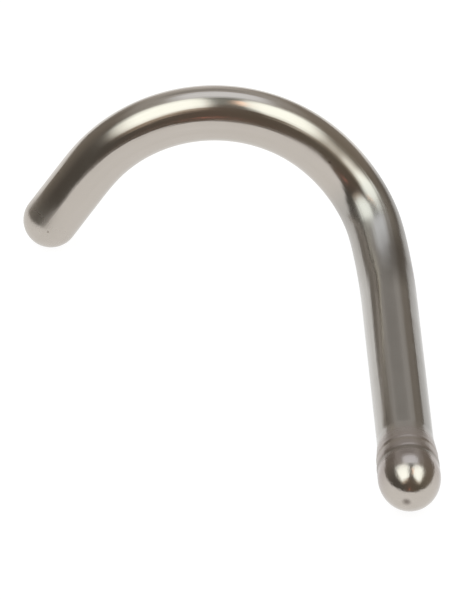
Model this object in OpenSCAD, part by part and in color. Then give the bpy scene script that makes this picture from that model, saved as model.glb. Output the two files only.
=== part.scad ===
// Nose screw: one length of round steel wire. One end is headed into a small ball
// with a ringed collar, the other is bent into an open hook that ends in a rounded tip.
// It lies on a surface as it falls: on its collar, on the start of its first bend and
// on its tip. +Z is up, the post runs along +Y away from the head, and the origin is
// under the middle of the part's box, on the surface.

/* [Wire] */
// Diameter of the wire
wire_d = 0.8; // [0.6:0.05:1.0]
// Straight post, from the middle of the ball to the first bend
post_l = 4.53; // [3.5:0.01:7]
// Straight free end, from the hook to the middle of the rounded tip
tail_l = 0.92; // [0.5:0.02:1.5]

/* [Head] */
// How much wider than the wire the ball and the collar's front rim are
head_extra = 0.084; // [0.08:0.004:0.12]
// How far the ball, which is a little longer than it is wide, reaches forward of its middle
ball_l = 0.54; // [0.44:0.01:0.6]
// Distance of the groove between ball and collar, behind the middle of the ball
groove_at = 0.15; // [0.08:0.01:0.15]
// Width of that groove
groove_w = 0.04; // [0.02:0.01:0.06]
// Depth of that groove
groove_deep = 0.022; // [0.01:0.002:0.03]
// Distance of the collar's front rim
rim_at = 0.19; // [0.19:0.01:0.25]
// Distance of the ring line cut round the collar
line_at = 0.36; // [0.31:0.01:0.4]
// Width of that ring line
line_w = 0.04; // [0.02:0.01:0.06]
// Depth of that ring line
line_deep = 0.014; // [0.004:0.002:0.02]
// How much wider than the wire the heel of the collar is
heel_extra = 0.06; // [0.02:0.004:0.06]
// Distance of the collar's heel, where it starts to run down to the wire
heel_at = 0.49; // [0.45:0.01:0.62]
// Distance at which the collar has run out into the wire
runout_at = 0.85; // [0.72:0.01:1.2]

/* [Bends] */
// Radius of the slow bend at the end of the post
ease_r = 3.9; // [3:0.1:6]
// Angle that the slow bend turns through
ease_a = 20; // [10:1:25]
// Radius of the tight knee that lifts the wire off the surface
knee_r = 1.1; // [0.8:0.05:1.5]
// Angle that the knee turns through
knee_a = 50; // [40:1:60]
// Roll of the knee about the wire
knee_roll = -20; // [-25:1:-10]
// Radius of the hook and of the short turn before it, to the middle of the wire
hook_r = 2.25; // [1.8:0.05:2.8]
// Angle of the short turn between the knee and the hook
turn_a = 16; // [8:1:20]
// Roll of that turn about the wire
turn_roll = -30; // [-40:1:-20]
// Angle that the hook turns through
hook_a = 96; // [70:1:105]
// Roll of the hook about the wire
hook_roll = -52; // [-60:1:-45]

/* [Hidden] */
$fn = 72;

wire_r = wire_d / 2;
head_r = (wire_d + head_extra) / 2;
heel_r = (wire_d + heel_extra) / 2;

// The bends in order from the post to the free end. Each turns the wire through an angle
// on a radius, after its plane has been rolled about the wire.
RADIUS = 0;
ANGLE = 1;
ROLL = 2;
BENDS = [
    [ease_r, ease_a, 0],
    [knee_r, knee_a, knee_roll],
    [hook_r, turn_a, turn_roll],
    [hook_r, hook_a, hook_roll]
];
LAST = len(BENDS) - 1;

// The post and every second bend have the wire's full radius. The stretches between them,
// and the free end, are a hair thinner and run a little way into their neighbours, so that
// the wire is one solid with no two end faces in one plane.
thin_r = wire_r - 0.002;
lap = 0.04;
function is_thin(i) = i % 2 == 0;

// The head's outline: its radius, and how far it lies behind the middle of the ball.
// The ball's front is half an ellipse, and the collar narrows from its rim to its heel.
ARC_STEP = 5;
line_r = (head_r + heel_r) / 2;
HEAD = [
    for (angle = [0 : ARC_STEP : 90]) [head_r * sin(angle), -ball_l * cos(angle)],
    [head_r, groove_at - groove_w / 2],
    [head_r - groove_deep, groove_at],
    [head_r, rim_at],
    [line_r, line_at - line_w / 2],
    [line_r - line_deep, line_at],
    [line_r, line_at + line_w / 2],
    [heel_r, heel_at],
    [wire_r, runout_at],
    [0, runout_at]
];

// A frame follows the wire: Z runs along it away from the head, and X points towards
// the middle of the bend.
X = 0;
Y = 1;
Z = 2;
PLACE = 3;

function move(x, y, z) = [
    [1, 0, 0, x],
    [0, 1, 0, y],
    [0, 0, 1, z],
    [0, 0, 0, 1]
];

function roll(angle) = [
    [cos(angle), -sin(angle), 0, 0],
    [sin(angle), cos(angle), 0, 0],
    [0, 0, 1, 0],
    [0, 0, 0, 1]
];

function follow(radius, angle) = [
    [cos(angle), 0, sin(angle), radius * (1 - cos(angle))],
    [0, 1, 0, 0],
    [-sin(angle), 0, cos(angle), radius * sin(angle)],
    [0, 0, 0, 1]
];

// The frame in which bend i starts, and the one that it has reached at a share of its angle
function start_of(i) = reached(i - 1, 1) * roll(BENDS[i][ROLL]);
function reached(i, share) =
    i < 0 ? move(0, 0, post_l) : start_of(i) * follow(BENDS[i][RADIUS], share * BENDS[i][ANGLE]);

// The post slopes down from the wider collar to the wire's own radius at the first bend
slope = asin((head_r - wire_r) / (post_l - rim_at));
head_z = head_r * cos(slope) + rim_at * sin(slope);

// The whole part is rolled about its post until the rounded tip lies on the surface
tip = reached(LAST, 1) * [0, 0, tail_l, 1];
tip_reach = norm([tip[X], tip[Y]]);
tip_lift = (thin_r - head_z + tip[Z] * sin(slope)) / cos(slope);
lay_roll = -acos(tip_lift / tip_reach) - atan2(tip[Y], tip[X]);

function laid(frame) = [
    [0, 1, 0, 0],
    [sin(slope), 0, cos(slope), 0],
    [cos(slope), 0, -sin(slope), head_z],
    [0, 0, 0, 1]
] * roll(lay_roll) * frame;

// How far the part reaches each way: frames taken all along the bends, the head and the tip
STEP = 1 / 50;
FRAMES = [for (i = [0 : LAST], share = [0 : STEP : 1]) laid(reached(i, share))];
END = laid(reached(LAST, 1) * move(0, 0, tail_l));
function side(frame, axis) = wire_r * sqrt(1 - pow(frame[axis][Z], 2));
right = max(head_r, max([for (frame = FRAMES) frame[X][PLACE] + side(frame, X)]));
left = min(END[X][PLACE] - thin_r, min([for (frame = FRAMES) frame[X][PLACE] - side(frame, X)]));
back = max(END[Y][PLACE] + thin_r, max([for (frame = FRAMES) frame[Y][PLACE] + side(frame, Y)]));
front = -ball_l;
CENTRE = move(-(left + right) / 2, -(front + back) / 2, 0);

module head() {
    rotate_extrude()
        polygon(HEAD);
}

module post() {
    cylinder(r = wire_r, h = post_l);
}

module bend(radius, angle, thin) {
    over = thin ? lap / radius * 180 / PI : 0;
    translate([radius, 0, 0])
        rotate([90, 0, 0])
            rotate_extrude(angle = angle + 2 * over, start = 180 - angle - over)
                translate([radius, 0])
                    circle(r = thin ? thin_r : wire_r);
}

module free_end() {
    rotate_extrude() {
        translate([0, -lap])
            square([thin_r, lap + tail_l]);
        translate([0, tail_l])
            intersection() {
                circle(r = thin_r);
                square(thin_r);
            }
    }
}

module nose_screw() {
    color("silver")
        multmatrix(CENTRE) {
            multmatrix(laid(move(0, 0, 0))) {
                head();
                post();
            }
            for (i = [0 : LAST])
                multmatrix(laid(start_of(i)))
                    bend(BENDS[i][RADIUS], BENDS[i][ANGLE], is_thin(i));
            multmatrix(laid(reached(LAST, 1)))
                free_end();
        }
}

nose_screw();
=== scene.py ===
import math

import bmesh
import bpy
from mathutils import Matrix, Vector


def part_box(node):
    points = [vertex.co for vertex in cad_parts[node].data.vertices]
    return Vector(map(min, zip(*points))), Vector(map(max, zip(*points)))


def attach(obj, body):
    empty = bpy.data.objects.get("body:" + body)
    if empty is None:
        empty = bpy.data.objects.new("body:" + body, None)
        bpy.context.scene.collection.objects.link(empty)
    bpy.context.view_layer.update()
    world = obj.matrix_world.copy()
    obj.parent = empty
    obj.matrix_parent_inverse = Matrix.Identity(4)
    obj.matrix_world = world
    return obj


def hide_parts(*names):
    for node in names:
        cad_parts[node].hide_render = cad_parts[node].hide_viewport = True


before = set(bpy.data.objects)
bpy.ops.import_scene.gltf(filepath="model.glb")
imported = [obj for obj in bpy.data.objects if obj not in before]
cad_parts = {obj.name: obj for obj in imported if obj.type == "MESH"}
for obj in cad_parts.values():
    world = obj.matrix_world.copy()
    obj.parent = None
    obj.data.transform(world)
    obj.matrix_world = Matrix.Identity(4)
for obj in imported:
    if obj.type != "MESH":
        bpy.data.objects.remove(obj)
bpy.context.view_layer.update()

# The wire: one length of round surgical steel, 0.8 mm thick. One end is upset in a die into
# a domed head, its collar is turned, and the other end is rounded. It is made here as one
# turned shape along Z, with the middle of the ball at the origin, then bent and laid down.
MM = 0.001
wire_r = 0.4 * MM
ball_r = 0.4425 * MM
ball_length = 0.54 * MM
groove_z = 0.165 * MM
groove_half = 0.075 * MM
groove_deep = 0.006 * MM
rim_z = 0.19 * MM
rim_r = 0.442 * MM
line_z = 0.375 * MM
line_half = 0.06 * MM
line_deep = 0.004 * MM
line_r = 0.436 * MM
heel_z = 0.49 * MM
heel_r = 0.43 * MM
heel_half = 0.02 * MM
heel_rise = 0.0005 * MM
heel_fall = 0.0015 * MM
runout_z = 0.85 * MM
runout_half = 0.05 * MM
runout_rise = 0.002 * MM
post_z = 4.53 * MM
tail_length = 0.92 * MM
dent_at = Vector((-0.022, -0.088, -0.529)) * MM
dent_r = 0.1 * MM
dent_deep = 0.018 * MM
SIDES = 96
BALL_STEPS = 56
GROOVE_STEPS = 10
TIP_STEPS = 28
RING_GAP = 0.035 * MM
MERGE_GAP = 0.0001 * MM

# Each bend of the finished wire: the radius on its middle line, the angle it turns
# through, and the roll of its plane about the wire from that of the bend before it.
BENDS = [
    {"radius": 3.9 * MM, "angle": math.radians(20), "roll": math.radians(0)},
    {"radius": 1.1 * MM, "angle": math.radians(50), "roll": math.radians(-20)},
    {"radius": 2.25 * MM, "angle": math.radians(16), "roll": math.radians(-30)},
    {"radius": 2.25 * MM, "angle": math.radians(96), "roll": math.radians(-52)},
]
bent_length = sum(bend["radius"] * bend["angle"] for bend in BENDS)
tip_z = post_z + bent_length + tail_length

shape = bmesh.new()


def draw_to(last, radius, height):
    """Draws the outline on to a radius and a height, and returns the new vertex."""
    made = shape.verts.new((radius, 0, height))
    shape.edges.new((last, made))
    return made


def draw_groove(last, radius, middle, half, deep):
    """Draws a shallow round-bottomed groove across an outline of this radius."""
    for step in range(GROOVE_STEPS + 1):
        share = 2 * step / GROOVE_STEPS - 1
        last = draw_to(last, radius - deep * (1 + math.cos(math.pi * share)) / 2, middle + share * half)
    return last


# The ball's outline is a quarter circle, stretched along the wire into an ellipse.
pole = shape.verts.new((0, 0, -ball_r))
arc = bmesh.ops.spin(
    shape, geom=[pole], cent=(0, 0, 0), axis=(0, -1, 0), angle=math.pi / 2, steps=BALL_STEPS
)
bmesh.ops.scale(shape, vec=(1, 1, ball_length / ball_r), verts=shape.verts[:])
last = [item for item in arc["geom_last"] if isinstance(item, bmesh.types.BMVert)][0]

# The collar follows, with the groove before it and the ring line round it. Its heel and the
# end of its run-out are eased a little, and then comes the plain wire with its round tip.
last = draw_groove(last, ball_r, groove_z, groove_half, groove_deep)
last = draw_groove(last, line_r, line_z, line_half, line_deep)
last = draw_to(last, heel_r + heel_rise, heel_z - heel_half)
last = draw_to(last, heel_r - heel_fall, heel_z + heel_half)
last = draw_to(last, wire_r + runout_rise, runout_z - runout_half)
collar_end = draw_to(last, wire_r, runout_z)
wire_end = draw_to(collar_end, wire_r, tip_z)
long_edge = wire_end.link_edges[0]
bmesh.ops.spin(
    shape, geom=[wire_end], cent=(0, 0, tip_z), axis=(0, -1, 0), angle=math.pi / 2, steps=TIP_STEPS
)
bmesh.ops.subdivide_edges(shape, edges=[long_edge], cuts=int((tip_z - runout_z) / RING_GAP))

bmesh.ops.spin(
    shape, geom=shape.verts[:] + shape.edges[:], cent=(0, 0, 0), axis=(0, 0, 1),
    angle=2 * math.pi, steps=SIDES, use_merge=True,
)
bmesh.ops.remove_doubles(shape, verts=shape.verts[:], dist=MERGE_GAP)
bmesh.ops.recalc_face_normals(shape, faces=shape.faces[:])

# A small dent in the ball's face, beside its middle.
for vert in shape.verts:
    share = (vert.co - dent_at).length / dent_r
    if share < 1:
        vert.co.z += dent_deep * (1 - share ** 2) ** 2

# Each point keeps its place on the straight wire, in millimetres, for the marks in the
# steel: most were made before it was bent, and all of them follow the wire.
straight = shape.verts.layers.float_vector.new("straight")
for vert in shape.verts:
    vert[straight] = vert.co / MM

# The wire is then bent cold round pins, from the tip back to the post, so that each bend
# is made while the wire before it is still straight. A pin never leaves a sharp change
# of curve, so the bends run into each other over a short ease.
EASE = 0.5 * MM


def curve_at(z):
    """The wire's curve at a height: its direction across the wire, as long as 1 / radius."""
    start = post_z
    roll = 0
    curve = Vector((0, 0, 0))
    for bend in BENDS:
        end = start + bend["radius"] * bend["angle"]
        roll += bend["roll"]
        shared = min(end, z + EASE / 2) - max(start, z - EASE / 2)
        if shared > 0:
            way = Vector((math.cos(roll), math.sin(roll), 0))
            curve += way * shared / EASE / bend["radius"]
        start = end
    return curve


# The points are gathered into rings by their height, in steps far finer than the gaps
# between the rings of the bends. From each ring in turn, all that lies beyond it is turned
# by that ring's small share of the bend.
HEIGHT_STEP = 0.0005 * MM
rings = {}
for vert in shape.verts:
    rings.setdefault(round(vert.co.z / HEIGHT_STEP), []).append(vert)
heights = sorted(rings)
beyond = []
for low, high in zip(reversed(heights[:-1]), reversed(heights[1:])):
    beyond += rings[high]
    z = sum(vert.co.z for vert in rings[low]) / len(rings[low])
    gap = (high - low) * HEIGHT_STEP
    curve = curve_at(z + gap / 2)
    if curve.length:
        axis = Vector((0, 0, 1)).cross(curve)
        bmesh.ops.rotate(
            shape, verts=beyond, cent=(0, 0, z), matrix=Matrix.Rotation(curve.length * gap, 3, axis)
        )

# Laid down, the screw comes to rest on its collar, on the wire at the first bend, and on
# its tip. The post slopes a little, and the whole screw rolls until the tip touches.
slope = math.asin((rim_r - wire_r) / (post_z - rim_z))
head_z = rim_r * math.cos(slope) + rim_z * math.sin(slope)
tip_ring = rings[heights[-1 - TIP_STEPS]]
tip_middle = sum((vert.co for vert in tip_ring), Vector()) / len(tip_ring)
tip_reach = tip_middle.xy.length
tip_lift = (wire_r - head_z + tip_middle.z * math.sin(slope)) / math.cos(slope)
lay_roll = -math.acos(tip_lift / tip_reach) - math.atan2(tip_middle.y, tip_middle.x)
low_corner, high_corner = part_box("nose_screw")
head = Vector((high_corner.x - rim_r, low_corner.y + ball_length, head_z))
laid = Matrix((
    (0, 1, 0, head.x),
    (math.sin(slope), 0, math.cos(slope), head.y),
    (math.cos(slope), 0, -math.sin(slope), head.z),
    (0, 0, 0, 1),
))
bmesh.ops.transform(shape, matrix=laid @ Matrix.Rotation(lay_roll, 4, "Z"), verts=shape.verts[:])

mesh = bpy.data.meshes.new("nose_screw_wire")
shape.to_mesh(mesh)
shape.free()
mesh.shade_smooth()
wire = bpy.data.objects.new("nose_screw_wire", mesh)
bpy.context.scene.collection.objects.link(wire)


def linear(code):
    """Turns an sRGB hex colour into linear RGBA."""
    parts = [int(code[i:i + 2], 16) / 255 for i in (1, 3, 5)]
    return [part / 12.92 if part <= 0.04045 else ((part + 0.055) / 1.055) ** 2.4 for part in parts] + [1]


def add_node(tree, kind, inputs, **settings):
    """Adds a node, sets its settings, and links or fills its inputs."""
    made = tree.nodes.new(kind)
    for name, value in settings.items():
        setattr(made, name, value)
    for name, value in inputs.items():
        if isinstance(value, bpy.types.NodeSocket):
            tree.links.new(value, made.inputs[name])
        else:
            made.inputs[name].default_value = value
    return made


# A Mix node's colour sockets have the same names as its others, so they go by number.
LOW_COLOUR = 6
HIGH_COLOUR = 7
MIXED_COLOUR = 2

# Surgical steel, drawn through a die and then buffed: a slightly warm grey mirror, blurred a
# little. The die leaves long fine lines, and the buff a soft wave. The real lines are a few
# thousandths of a millimetre apart, and are drawn much coarser here, so that they show.
steel = bpy.data.materials.new("buffed_surgical_steel")
steel.use_nodes = True
tree = steel.node_tree
tree.nodes.clear()
place = add_node(tree, "ShaderNodeAttribute", {}, attribute_name="straight").outputs["Vector"]
sides = add_node(tree, "ShaderNodeSeparateXYZ", {0: place})
along = sides.outputs["Z"]

# Each scale is how many of the marks there are to a millimetre. The lines are drawn out
# along the wire, and the turnings of the head round it.
LINES_PER_MM = 6
TURNINGS_PER_MM = 16
WAVES_PER_MM = 2.2
PATCHES_PER_MM = 1.4
KINKS_PER_MM = 3.5
SPECKS_PER_MM = 2.2
drawn = add_node(tree, "ShaderNodeVectorMath", {0: place, 1: (1, 1, 0.02)}, operation="MULTIPLY")
lines = add_node(tree, "ShaderNodeTexNoise", {
    "Vector": drawn.outputs[0], "Scale": LINES_PER_MM, "Detail": 4, "Roughness": 0.65,
}).outputs[0]
turned = add_node(tree, "ShaderNodeVectorMath", {0: place, 1: (0.05, 0.05, 1)}, operation="MULTIPLY")
turnings = add_node(tree, "ShaderNodeTexNoise", {
    "Vector": turned.outputs[0], "Scale": TURNINGS_PER_MM, "Detail": 3, "Roughness": 0.7,
}).outputs[0]
wave = add_node(tree, "ShaderNodeTexNoise", {
    "Vector": place, "Scale": WAVES_PER_MM, "Detail": 1, "Roughness": 0.4,
}).outputs[0]
patches = add_node(tree, "ShaderNodeTexNoise", {
    "Vector": place, "Scale": PATCHES_PER_MM, "Detail": 4, "Roughness": 0.6,
}).outputs[0]
kinks = add_node(tree, "ShaderNodeTexNoise", {
    "Vector": place, "Scale": KINKS_PER_MM, "Detail": 0,
}).outputs[0]
specks = add_node(tree, "ShaderNodeTexVoronoi", {
    "Vector": place, "Scale": SPECKS_PER_MM,
}).outputs["Distance"]


def share_near(value, middle, inner, outer):
    """A share that is 1 near a value, out to the inner distance, and 0 beyond the outer one."""
    offset = add_node(tree, "ShaderNodeMath", {0: value, 1: middle}, operation="SUBTRACT")
    distance = add_node(tree, "ShaderNodeMath", {0: offset.outputs[0]}, operation="ABSOLUTE")
    return add_node(tree, "ShaderNodeMapRange", {
        "Value": distance.outputs[0], "From Min": outer, "From Max": inner,
    }, interpolation_type="SMOOTHSTEP").outputs[0]


# Where the marks lie along the wire, in millimetres: the post is painted a shade darker as painted
# shade, the head was turned, its two grooves are painted darker as painted shade, and the first bends
# are kinked.
# Painted shade: the post is tinted darker, standing in for the dim reflection it shows.
painted_post_shade = share_near(along, middle=3.5, inner=2.8, outer=3.6)
headed = share_near(along, middle=0.2, inner=0.25, outer=0.65)
collared = share_near(along, middle=0.35, inner=0.2, outer=0.35)
# Painted shade: the groove and the ring line are tinted darker, as shade in them.
groove_shade = share_near(along, middle=0.14, inner=0.02, outer=0.08)
ring_line_shade = share_near(along, middle=0.355, inner=0.01, outer=0.06)
bent = share_near(along, middle=5.5, inner=0.6, outer=1.3)
tipped = share_near(along, middle=(tip_z + wire_r) / MM, inner=0.4, outer=0.9)
speck = share_near(specks, middle=0, inner=0.02, outer=0.06)

# The side of the post away from the hook is painted darker still: painted shade, for the dimmer floor it
# mirrors.
side = add_node(tree, "ShaderNodeMapRange", {
    "Value": sides.outputs["Y"], "From Min": 0.32, "From Max": 0.37,
}, interpolation_type="SMOOTHSTEP").outputs[0]
painted_far_side_shade = add_node(tree, "ShaderNodeMath", {0: painted_post_shade, 1: side}, operation="MULTIPLY").outputs[0]

# A patch before the knee is painted darker: painted shade, for the dark the knee mirrors there. Its
# middle is 5 mm along, but lengths along the wire count for half here, because the patch is twice as
# long as it is wide.
halved = add_node(tree, "ShaderNodeVectorMath", {0: place, 1: (1, 1, 0.5)}, operation="MULTIPLY")
from_patch = add_node(tree, "ShaderNodeVectorMath", {
    0: halved.outputs[0], 1: (0.24, 0.31, 2.5),
}, operation="DISTANCE").outputs["Value"]
painted_knee_shade = share_near(from_patch, middle=0, inner=0.08, outer=0.46)

from_dent = add_node(tree, "ShaderNodeVectorMath", {
    0: place, 1: dent_at / MM,
}, operation="DISTANCE").outputs["Value"]
dented = share_near(from_dent, middle=0, inner=0.01, outer=0.09)

# The plain steel has cleaner and greyer patches, and faint streaks along its lines.
clean = add_node(tree, "ShaderNodeMix", {
    0: patches, LOW_COLOUR: linear("#beb7b0"), HIGH_COLOUR: linear("#b7b0a8"),
}, data_type="RGBA").outputs[MIXED_COLOUR]
streaks = add_node(tree, "ShaderNodeMapRange", {
    "Value": lines, "From Min": 0.35, "From Max": 0.65,
}).outputs[0]
colour = add_node(tree, "ShaderNodeMix", {
    0: streaks, LOW_COLOUR: linear("#b7b0a8"), HIGH_COLOUR: clean,
}, data_type="RGBA").outputs[MIXED_COLOUR]

# Each mark tints it in turn: the painted shade of the post, the painted shade on its far side, the
# painted shade before the knee, the faint heat tint of the head, the painted shade in the groove and the
# ring line, the darker dent, and the dirt of the specks.
for share, code in (
    (painted_post_shade, "#a9a5a0"),
    (painted_far_side_shade, "#898580"),
    (painted_knee_shade, "#7d7873"),
    (headed, "#a59c97"),
    (groove_shade, "#8b837c"),
    (ring_line_shade, "#a0978f"),
    (dented, "#7d756e"),
    (speck, "#8c837a"),
):
    colour = add_node(tree, "ShaderNodeMix", {
        0: share, LOW_COLOUR: colour, HIGH_COLOUR: linear(code),
    }, data_type="RGBA").outputs[MIXED_COLOUR]

# The blur of the plain steel, and how much each mark adds to it.
blur = add_node(tree, "ShaderNodeMapRange", {
    "Value": patches, "From Min": 0.35, "From Max": 0.7, "To Min": 0.12, "To Max": 0.18,
}).outputs[0]
for share, more in (
    (lines, 0.05),
    (bent, 0.08),
    (headed, 0.03),
    (collared, 0.12),
    (tipped, 0.1),
    (dented, 0.2),
):
    blur = add_node(tree, "ShaderNodeMath", {
        0: share, 1: more, 2: blur,
    }, operation="MULTIPLY_ADD").outputs[0]

# Each relief in turn: its height, how far it stands out in millimetres, and where it shows.
normal = None
for height, depth, shown in (
    (wave, 0.005, None),
    (lines, 0.005, None),
    (turnings, 0.003, headed),
    (kinks, 0.006, bent),
):
    settings = {"Distance": depth * MM, "Height": height}
    if shown is not None:
        settings["Strength"] = shown
    if normal is not None:
        settings["Normal"] = normal
    normal = add_node(tree, "ShaderNodeBump", settings).outputs[0]

surface = add_node(tree, "ShaderNodeBsdfPrincipled", {
    "Base Color": colour,
    "Metallic": 1,
    "Roughness": blur,
    "Normal": normal,
})
add_node(tree, "ShaderNodeOutputMaterial", {"Surface": surface.outputs["BSDF"]})
mesh.materials.append(steel)

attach(wire, "root")
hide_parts("nose_screw")

# The surface: a sheet of matt opal acrylic on a light table. It glows from below, which
# keeps the shadows faint, and it is too matt to mirror the screw.
TABLE_HALF = 0.6
floor_mesh = bpy.data.meshes.new("light_table")
sheet = bmesh.new()
bmesh.ops.create_grid(sheet, x_segments=1, y_segments=1, size=TABLE_HALF)
sheet.to_mesh(floor_mesh)
sheet.free()
table = bpy.data.objects.new("light_table", floor_mesh)
bpy.context.scene.collection.objects.link(table)
opal = bpy.data.materials.new("matt_opal_acrylic")
opal.use_nodes = True
tree = opal.node_tree
tree.nodes.clear()
surface = add_node(tree, "ShaderNodeBsdfPrincipled", {
    "Base Color": linear("#707070"),
    "Roughness": 0.9,
    "Specular IOR Level": 0.1,
    "Emission Color": linear("#ffffff"),
    "Emission Strength": 0.93,
})
add_node(tree, "ShaderNodeOutputMaterial", {"Surface": surface.outputs["BSDF"]})
floor_mesh.materials.append(opal)

# The light: two soft boxes side by side overhead and a white card behind them, in a dim
# room. They are placed by what the steel mirrors of them.
world = bpy.data.worlds.new("studio")
bpy.context.scene.world = world
world.use_nodes = True
tree = world.node_tree
tree.nodes.clear()
way = add_node(tree, "ShaderNodeTexCoord", {}).outputs["Generated"]
parts = add_node(tree, "ShaderNodeSeparateXYZ", {0: way})

# The walls of the room round about, from behind by way of the left, the front and the right.
ROOM = [
    (0.0, "#e8e4e0"),
    (0.05, "#b8b2ab"),
    (0.09, "#8f8981"),
    (0.14, "#948d84"),
    (0.19, "#807a72"),
    (0.28, "#625d57"),
    (0.4, "#5f5b55"),
    (0.48, "#75675c"),
    (0.6, "#6b6559"),
    (0.75, "#8a8073"),
    (0.86, "#9c9489"),
    (0.92, "#9a938a"),
    (0.96, "#b5afa7"),
    (1.0, "#e8e4e0"),
]
frontward = add_node(tree, "ShaderNodeMath", {0: parts.outputs["Y"], 1: -1}, operation="MULTIPLY")
bearing = add_node(tree, "ShaderNodeMath", {
    0: parts.outputs["X"], 1: frontward.outputs[0],
}, operation="ARCTAN2")
share_round = add_node(tree, "ShaderNodeMath", {
    0: bearing.outputs[0], 1: 0.5 / math.pi, 2: 0.5,
}, operation="MULTIPLY_ADD")
ramp = add_node(tree, "ShaderNodeValToRGB", {0: share_round.outputs[0]})
while len(ramp.color_ramp.elements) < len(ROOM):
    ramp.color_ramp.elements.new(0.5)
for stop, (position, code) in zip(ramp.color_ramp.elements, ROOM):
    stop.position = position
    stop.color = linear(code)
light = ramp.outputs[0]

# Each lamp or bright patch lies on a ceiling one unit up, tilted about the point overhead
# until it faces a given way. Directions that point away from it count as far out on it.
LEAST_FACING = 0.02
LEVEL = (0, 0, 1)
LEFT_TILT = (-1.05, 0, 1)
RIGHT_TILT = (2, 0, 1)
FRONT_TILT = (0, -1, 1)
level_way = add_node(tree, "ShaderNodeCombineXYZ", {
    0: parts.outputs["X"], 1: parts.outputs["Y"],
}).outputs[0]


def lay_patch(light, facing, middle, half, soft, colour, glow=1):
    """Lays a patch with round corners and soft edges over the light so far.

    Its middle and half its size are level distances, across and towards the back.
    """
    met = add_node(tree, "ShaderNodeVectorMath", {
        0: way, 1: facing,
    }, operation="DOT_PRODUCT").outputs["Value"]
    ahead = add_node(tree, "ShaderNodeMath", {0: met, 1: LEAST_FACING}, operation="MAXIMUM").outputs[0]
    plan = add_node(tree, "ShaderNodeVectorMath", {0: level_way, 1: ahead}, operation="DIVIDE")
    offset = add_node(tree, "ShaderNodeVectorMath", {
        0: plan.outputs[0], 1: middle + (0,),
    }, operation="SUBTRACT")
    share = add_node(tree, "ShaderNodeVectorMath", {
        0: offset.outputs[0], 1: half + (1,),
    }, operation="DIVIDE")
    squared = add_node(tree, "ShaderNodeVectorMath", {
        0: share.outputs[0], 1: share.outputs[0],
    }, operation="MULTIPLY")
    outward = add_node(tree, "ShaderNodeVectorMath", {0: squared.outputs[0]}, operation="LENGTH")
    mask = add_node(tree, "ShaderNodeMapRange", {
        "Value": outward.outputs["Value"],
        "From Min": (1 + soft) ** 2,
        "From Max": (1 - soft) ** 2,
    }, interpolation_type="SMOOTHSTEP")
    shone = [part * glow for part in linear(colour)[:3]] + [1]
    return add_node(tree, "ShaderNodeMix", {
        0: mask.outputs[0], LOW_COLOUR: light, HIGH_COLOUR: shone,
    }, data_type="RGBA").outputs[MIXED_COLOUR]


# The dim ceiling at the back, and its dimmer middle.
light = lay_patch(light, LEVEL, (0, 1.7), (0.95, 1.3), soft=0.4, colour="#c4c1bd")
light = lay_patch(light, LEVEL, (-0.1, 1.5), (0.45, 0.22), soft=0.6, colour="#a9a6a2")

# The gap between the soft boxes.
light = lay_patch(light, LEVEL, (0.05, -0.05), (0.3, 0.3), soft=0.6, colour="#929590")

# A small red light, low in front.
light = lay_patch(
    light, FRONT_TILT, (-0.085, -0.815), (0.013, 0.033), soft=0.5, colour="#f09a88", glow=2.1
)

# The white card.
light = lay_patch(light, LEVEL, (0.07, 0.58), (0.42, 0.32), soft=0.35, colour="#eef3f9", glow=1.4)

# The warm fall-off in front of each soft box.
light = lay_patch(light, LEFT_TILT, (-0.32, -0.387), (0.185, 0.333), soft=0.5, colour="#d8c4b0")
light = lay_patch(light, RIGHT_TILT, (0.277, -0.2625), (0.082, 0.2), soft=0.4, colour="#cdbba8")

# The two soft boxes, and a warm strip along the inner edge of the right one.
light = lay_patch(
    light, LEFT_TILT, (-0.297, -0.18), (0.212, 0.334), soft=0.35, colour="#f8fffb", glow=2.26
)
light = lay_patch(
    light, RIGHT_TILT, (0.2515, -0.15), (0.0967, 0.236), soft=0.3, colour="#f8fffb", glow=2.26
)
light = lay_patch(light, LEVEL, (0.18, -0.2), (0.035, 0.15), soft=0.4, colour="#ffd9be", glow=2.6)

# The camera itself sees plain white beyond the surface.
ray = add_node(tree, "ShaderNodeLightPath", {})
seen = add_node(tree, "ShaderNodeMix", {
    0: ray.outputs["Is Camera Ray"], LOW_COLOUR: light, HIGH_COLOUR: linear("#ffffff"),
}, data_type="RGBA")
background = add_node(tree, "ShaderNodeBackground", {"Color": seen.outputs[MIXED_COLOUR], "Strength": 1})
add_node(tree, "ShaderNodeOutputWorld", {"Surface": background.outputs[0]})

# The camera: a long lens close by, 34 degrees above the surface and a little left of the
# post. Its aim is set by where the ball lies from the middle of the picture.
ELEVATION = math.radians(34.28)
AZIMUTH = math.radians(2.89)
DISTANCE = 150 * MM
VIEW_HEIGHT = 8.571 * MM
HEAD_RIGHT = 2.4312 * MM
HEAD_DOWN = 2.4748 * MM
HEAD_NEAR = 3.5095 * MM
SENSOR_WIDTH = 36
toward = Vector((
    -math.cos(ELEVATION) * math.sin(AZIMUTH),
    -math.cos(ELEVATION) * math.cos(AZIMUTH),
    math.sin(ELEVATION),
))
right = Vector((math.cos(AZIMUTH), -math.sin(AZIMUTH), 0))
up = toward.cross(right)
aim = head - right * HEAD_RIGHT + up * HEAD_DOWN - toward * HEAD_NEAR
camera = bpy.data.objects.new("camera", bpy.data.cameras.new("camera"))
camera.data.sensor_width = SENSOR_WIDTH
camera.data.lens = SENSOR_WIDTH * DISTANCE / VIEW_HEIGHT
camera.data.clip_start = 1 * MM
camera.data.clip_end = 2
camera.location = aim + toward * DISTANCE
camera.rotation_euler = toward.to_track_quat("Z", "Y").to_euler()
bpy.context.scene.collection.objects.link(camera)
bpy.context.scene.camera = camera
bpy.context.scene.view_settings.view_transform = "Standard"
